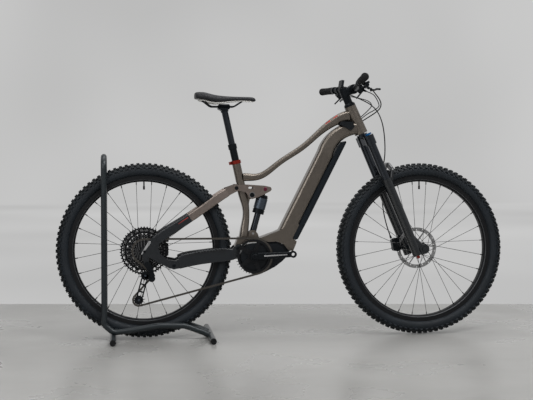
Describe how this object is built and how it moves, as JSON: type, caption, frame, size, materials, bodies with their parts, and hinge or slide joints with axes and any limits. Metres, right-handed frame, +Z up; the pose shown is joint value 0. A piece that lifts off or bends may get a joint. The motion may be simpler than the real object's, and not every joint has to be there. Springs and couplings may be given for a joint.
{
  "type": "bicycle on stand",
  "caption": "Full-suspension electric mountain bicycle held upright at the rear wheel by a tubular floor stand.",
  "frame": {"origin": "floor level under the middle of the overall box", "axes": "+X towards the front wheel, +Y to the rider's left, +Z up"},
  "size_m": [1.9497, 0.7634, 1.1161],
  "materials": {
    "frame_paint": "satin champagne metallic paint",
    "black_paint": "satin blue-black paint",
    "black_anodised": "satin black anodised",
    "bare_alloy": "machined alloy",
    "red_anodised": "red anodised",
    "steel": "brushed steel",
    "dark_steel": "dark coated steel",
    "tyre_rubber": "matte black tread rubber",
    "soft_rubber": "matte black rubber",
    "black_plastic": "matte black plastic",
    "saddle_cover": "matte black synthetic leather",
    "stand_paint": "dark gunmetal powder coat",
    "hose_skin": "semi-matte black hose"
  },
  "bodies": {
    "frame": {"main_frame": "frame_paint", "battery_cover": "black_plastic", "battery_pack": "black_paint", "motor_unit": "black_paint", "headset_cups": "black_anodised", "seat_clamp": "red_anodised", "dropper_outer": "black_anodised", "frame_pins": "steel", "cable_ports": "black_plastic", "rear_brake_hose": "hose_skin", "shift_cable": "hose_skin", "dropper_cable": "hose_skin"},
    "chainstay_arm": {"chainstays": "black_paint"},
    "seatstay_arm": {"seatstays": "black_paint", "rear_axle": "black_anodised", "rear_caliper": "black_anodised", "derailleur_body": "black_anodised", "chain": "steel"},
    "rear_wheel": {"rear_tyre": "tyre_rubber", "rear_rim": "black_anodised", "rear_spokes": "dark_steel", "rear_hub": "black_anodised", "rear_rotor": "steel"},
    "cassette_body": {"cassette": "steel"},
    "derailleur_arm": {"derailleur_cage": "black_anodised"},
    "guide_pulley": {"upper_pulley": "black_plastic"},
    "tension_pulley": {"lower_pulley": "black_plastic"},
    "stand": {"stand_hoop": "stand_paint", "stand_caps": "soft_rubber"},
    "rocker": {"rocker_link": "frame_paint"},
    "shock_lower": {"shock_damper": "bare_alloy"},
    "shock_upper": {"shock_can": "black_anodised"},
    "crank_set": {"crank_arms": "black_anodised", "chainring": "dark_steel"},
    "saddle_post": {"dropper_inner": "black_anodised", "saddle_clamp": "black_anodised", "saddle_rails": "steel", "saddle": "saddle_cover"},
    "steering": {"fork_upper": "black_paint", "stem": "black_anodised", "headset_spacers": "black_anodised", "handlebar": "black_anodised", "grips": "soft_rubber", "display_unit": "black_plastic", "brake_lever_bodies": "black_anodised", "shifter_pods": "black_plastic", "front_brake_hose": "hose_skin"},
    "fork_slider": {"fork_lowers": "black_paint", "front_caliper": "black_anodised"},
    "front_wheel": {"front_tyre": "tyre_rubber", "front_rim": "black_anodised", "front_spokes": "dark_steel", "front_hub": "black_anodised", "front_rotor": "steel"},
    "rebound_dial": {"rebound_knob": "red_anodised"},
    "compression_dial": {"compression_knob": "bare_alloy"},
    "lever_right": {"brake_lever_right": "black_anodised"},
    "lever_left": {"brake_lever_left": "black_anodised"},
    "trigger": {"shift_lever": "black_plastic"},
    "post_trigger": {"dropper_lever": "black_plastic"}
  },
  "joints": [
    {"name": "rear_suspension", "type": "hinge", "parent": "frame", "child": "chainstay_arm", "pos_m": [-0.201, 0, 0.385], "axis": [0, 1, 0], "range_deg": [0, 19.1], "stiffness_Nm_per_rad": 900, "springref_deg": -5.16, "deforming": ["chain"]},
    {"name": "seatstay_pivot", "type": "hinge", "parent": "chainstay_arm", "child": "seatstay_arm", "pos_m": [-0.477, 0, 0.317], "axis": [0, 1, 0], "range_deg": [-9.25, 0]},
    {"name": "rocker_pivot", "type": "hinge", "parent": "frame", "child": "rocker", "pos_m": [-0.141, 0, 0.612], "axis": [0, 1, 0], "range_deg": [0, 48.08]},
    {"name": "shock_pivot", "type": "hinge", "parent": "frame", "child": "shock_lower", "pos_m": [-0.136, 0, 0.446], "axis": [0, 1, 0], "range_deg": [0, 5.77]},
    {"name": "shock_stroke", "type": "slide", "parent": "shock_lower", "child": "shock_upper", "axis": [-0.264, 0, -0.9645], "range_m": [0, 0.0475]},
    {"name": "crank_spin", "type": "hinge", "parent": "frame", "child": "crank_set", "pos_m": [-0.134, 0, 0.35], "axis": [0, 1, 0], "continuous": true, "deforming": ["chain"]},
    {"name": "cassette_spin", "type": "hinge", "parent": "seatstay_arm", "child": "cassette_body", "pos_m": [-0.601, 0, 0.376], "axis": [0, 1, 0], "continuous": true},
    {"name": "rear_wheel_spin", "type": "hinge", "parent": "seatstay_arm", "child": "rear_wheel", "pos_m": [-0.601, 0, 0.376], "axis": [0, 1, 0], "continuous": true},
    {"name": "derailleur_cage_swing", "type": "hinge", "parent": "seatstay_arm", "child": "derailleur_arm", "pos_m": [-0.571, -0.0495, 0.262], "axis": [0, -1, 0], "range_deg": [0, 25], "stiffness_Nm_per_rad": 1.2, "springref_deg": -45.84, "deforming": ["chain"]},
    {"name": "guide_pulley_spin", "type": "hinge", "parent": "derailleur_arm", "child": "guide_pulley", "pos_m": [-0.59685, -0.0495, 0.27238], "axis": [0, 1, 0], "continuous": true},
    {"name": "tension_pulley_spin", "type": "hinge", "parent": "derailleur_arm", "child": "tension_pulley", "pos_m": [-0.62528, -0.0495, 0.16871], "axis": [0, 1, 0], "continuous": true},
    {"name": "stand_roll_out", "type": "slide", "parent": "seatstay_arm", "child": "stand", "axis": [-0.9848, 0, -0.1736], "range_m": [0, 0.7]},
    {"name": "dropper_slide", "type": "slide", "parent": "frame", "child": "saddle_post", "axis": [0.2164, 0, -0.9763], "range_m": [0, 0.14], "stiffness_N_per_m": 400, "springref_m": -0.4},
    {"name": "steering_turn", "type": "hinge", "parent": "frame", "child": "steering", "pos_m": [0.5605, 0, 0.35681], "axis": [-0.3907, 0, 0.9205], "range_deg": [-63.87, 56.13], "deforming": ["rear_brake_hose", "shift_cable", "dropper_cable"]},
    {"name": "fork_stroke", "type": "slide", "parent": "steering", "child": "fork_slider", "axis": [-0.3907, 0, 0.9205], "range_m": [0, 0.14], "stiffness_N_per_m": 6000, "springref_m": -0.04, "deforming": ["front_brake_hose"]},
    {"name": "front_wheel_spin", "type": "hinge", "parent": "fork_slider", "child": "front_wheel", "pos_m": [0.60091, 0.00297, 0.37396], "axis": [-0.0621, 0.9977, -0.0264], "continuous": true},
    {"name": "rebound_dial_turn", "type": "hinge", "parent": "fork_slider", "child": "rebound_dial", "pos_m": [0.57939, -0.06534, 0.3431], "axis": [-0.3907, 0, 0.9205], "range_deg": [-150, 150]},
    {"name": "compression_dial_turn", "type": "hinge", "parent": "steering", "child": "compression_dial", "pos_m": [0.3555, -0.06534, 0.87055], "axis": [0.3907, 0, -0.9205], "range_deg": [0, 90]},
    {"name": "brake_pull_right", "type": "hinge", "parent": "steering", "child": "lever_right", "pos_m": [0.33944, -0.20982, 1.05438], "axis": [0.3907, 0, -0.9205], "range_deg": [0, 9], "stiffness_Nm_per_rad": 3, "springref_deg": -17.19},
    {"name": "brake_pull_left", "type": "hinge", "parent": "steering", "child": "lever_left", "pos_m": [0.31285, 0.21721, 1.0431], "axis": [-0.3907, 0, 0.9205], "range_deg": [0, 9], "stiffness_Nm_per_rad": 3, "springref_deg": -17.19},
    {"name": "shift_press", "type": "hinge", "parent": "steering", "child": "trigger", "pos_m": [0.29984, -0.18415, 1.05713], "axis": [-0.7305, -0.0275, 0.6824], "range_deg": [0, 25], "stiffness_Nm_per_rad": 0.3, "springref_deg": -28.65},
    {"name": "post_press", "type": "hinge", "parent": "steering", "child": "post_trigger", "pos_m": [0.27673, 0.18701, 1.04732], "axis": [0.7305, 0.0275, -0.6824], "range_deg": [0, 25], "stiffness_Nm_per_rad": 0.3, "springref_deg": -28.65}
  ],
  "couplings": [
    {"joint": "seatstay_pivot", "follows": "rear_suspension", "ratio": -0.484},
    {"joint": "rocker_pivot", "follows": "rear_suspension", "ratio": 2.517},
    {"joint": "shock_pivot", "follows": "rear_suspension", "ratio": 0.302},
    {"joint": "shock_stroke", "follows": "rear_suspension", "m_per_rad": 0.1424},
    {"joint": "cassette_spin", "follows": "crank_spin", "ratio": 1.52},
    {"joint": "guide_pulley_spin", "follows": "crank_spin", "ratio": -3.1667},
    {"joint": "tension_pulley_spin", "follows": "crank_spin", "ratio": 3.1667}
  ]
}
